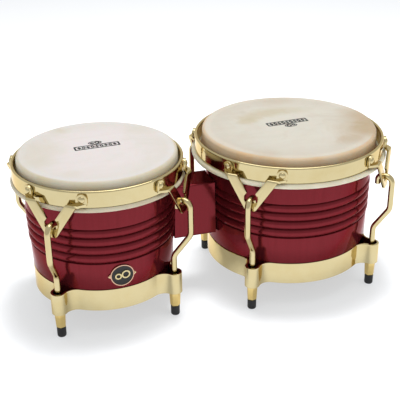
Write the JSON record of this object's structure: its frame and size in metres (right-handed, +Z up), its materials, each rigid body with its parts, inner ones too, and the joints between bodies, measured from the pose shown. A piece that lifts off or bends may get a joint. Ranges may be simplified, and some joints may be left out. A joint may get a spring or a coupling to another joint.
{
  "type": "bongo drums",
  "caption": "Pair of joined hand drums, one small and one large, with rawhide heads, gold tuning hardware and rubber-tipped feet.",
  "frame": {"origin": "on the floor, under the middle of the instrument's bounding box", "axes": "+X from the small drum to the large drum, +Y away from the player, +Z up through the playing faces"},
  "size_m": [0.461, 0.2398, 0.1972],
  "materials": {
    "lacquered_wood": "dark red gloss lacquer",
    "small_rawhide": "smooth pale rawhide",
    "large_rawhide": "smooth mottled rawhide",
    "gold_plate": "polished gold plating",
    "steel": "zinc plated",
    "rubber": "matte black",
    "black_enamel": "black enamel with a gold rim"
  },
  "bodies": {
    "frame": {"small_shell": "lacquered_wood", "small_head": "small_rawhide", "small_flesh_hoop": "steel", "small_bottom_ring": "gold_plate", "large_shell": "lacquered_wood", "large_head": "large_rawhide", "large_flesh_hoop": "steel", "large_bottom_ring": "gold_plate", "centre_block": "lacquered_wood", "block_bolt_upper": "steel", "block_washer_small_upper": "steel", "block_washer_large_upper": "steel", "block_nut_upper": "steel", "block_bolt_lower": "steel", "block_washer_small_lower": "steel", "block_washer_large_lower": "steel", "block_nut_lower": "steel", "round_badge": "black_enamel"},
    "small_rim_assembly": {"small_rim": "gold_plate", "small_side_plate_front_left": "gold_plate", "small_tuning_rod_front_left": "gold_plate", "small_side_plate_front_right": "gold_plate", "small_tuning_rod_front_right": "gold_plate", "small_side_plate_back_left": "gold_plate", "small_tuning_rod_back_left": "gold_plate", "small_side_plate_back_right": "gold_plate", "small_tuning_rod_back_right": "gold_plate"},
    "small_nut_front_left": {"small_tuning_nut_front_left": "gold_plate", "small_rubber_foot_front_left": "rubber"},
    "small_nut_front_right": {"small_tuning_nut_front_right": "gold_plate", "small_rubber_foot_front_right": "rubber"},
    "small_nut_back_left": {"small_tuning_nut_back_left": "gold_plate", "small_rubber_foot_back_left": "rubber"},
    "small_nut_back_right": {"small_tuning_nut_back_right": "gold_plate", "small_rubber_foot_back_right": "rubber"},
    "large_rim_assembly": {"large_rim": "gold_plate", "large_side_plate_front_left": "gold_plate", "large_tuning_rod_front_left": "gold_plate", "large_side_plate_front_right": "gold_plate", "large_tuning_rod_front_right": "gold_plate", "large_side_plate_back_left": "gold_plate", "large_tuning_rod_back_left": "gold_plate", "large_side_plate_back_right": "gold_plate", "large_tuning_rod_back_right": "gold_plate"},
    "large_nut_front_left": {"large_tuning_nut_front_left": "gold_plate", "large_rubber_foot_front_left": "rubber"},
    "large_nut_front_right": {"large_tuning_nut_front_right": "gold_plate", "large_rubber_foot_front_right": "rubber"},
    "large_nut_back_left": {"large_tuning_nut_back_left": "gold_plate", "large_rubber_foot_back_left": "rubber"},
    "large_nut_back_right": {"large_tuning_nut_back_right": "gold_plate", "large_rubber_foot_back_right": "rubber"}
  },
  "joints": [
    {"name": "small_nut_turn_front_left", "type": "hinge", "parent": "frame", "child": "small_nut_front_left", "pos_m": [-0.1965, -0.07021, 0.0315], "axis": [0, 0, -1], "range_deg": [0, 1440]},
    {"name": "small_nut_turn_front_right", "type": "hinge", "parent": "frame", "child": "small_nut_front_right", "pos_m": [-0.05849, -0.0678, 0.0315], "axis": [0, 0, -1], "range_deg": [0, 1440]},
    {"name": "small_nut_turn_back_left", "type": "hinge", "parent": "frame", "child": "small_nut_back_left", "pos_m": [-0.19891, 0.0678, 0.0315], "axis": [0, 0, -1], "range_deg": [0, 1440]},
    {"name": "small_nut_turn_back_right", "type": "hinge", "parent": "frame", "child": "small_nut_back_right", "pos_m": [-0.0609, 0.07021, 0.0315], "axis": [0, 0, -1], "range_deg": [0, 1440]},
    {"name": "small_rim_lift", "type": "slide", "parent": "frame", "child": "small_rim_assembly", "axis": [0, 0, 1], "range_m": [0, 0.005]},
    {"name": "large_nut_turn_front_left", "type": "hinge", "parent": "frame", "child": "large_nut_front_left", "pos_m": [0.03354, -0.08469, 0.0315], "axis": [0, 0, -1], "range_deg": [0, 1440]},
    {"name": "large_nut_turn_front_right", "type": "hinge", "parent": "frame", "child": "large_nut_front_right", "pos_m": [0.19529, -0.07706, 0.0315], "axis": [0, 0, -1], "range_deg": [0, 1440]},
    {"name": "large_nut_turn_back_left", "type": "hinge", "parent": "frame", "child": "large_nut_back_left", "pos_m": [0.02591, 0.07706, 0.0315], "axis": [0, 0, -1], "range_deg": [0, 1440]},
    {"name": "large_nut_turn_back_right", "type": "hinge", "parent": "frame", "child": "large_nut_back_right", "pos_m": [0.18766, 0.08469, 0.0315], "axis": [0, 0, -1], "range_deg": [0, 1440]},
    {"name": "large_rim_lift", "type": "slide", "parent": "frame", "child": "large_rim_assembly", "axis": [0, 0, 1], "range_m": [0, 0.005]}
  ],
  "couplings": [
    {"joint": "small_nut_turn_front_left", "follows": "small_rim_lift", "rad_per_m": 5026.5},
    {"joint": "small_nut_turn_front_right", "follows": "small_rim_lift", "rad_per_m": 5026.5},
    {"joint": "small_nut_turn_back_left", "follows": "small_rim_lift", "rad_per_m": 5026.5},
    {"joint": "small_nut_turn_back_right", "follows": "small_rim_lift", "rad_per_m": 5026.5},
    {"joint": "large_nut_turn_front_left", "follows": "large_rim_lift", "rad_per_m": 5026.5},
    {"joint": "large_nut_turn_front_right", "follows": "large_rim_lift", "rad_per_m": 5026.5},
    {"joint": "large_nut_turn_back_left", "follows": "large_rim_lift", "rad_per_m": 5026.5},
    {"joint": "large_nut_turn_back_right", "follows": "large_rim_lift", "rad_per_m": 5026.5}
  ]
}
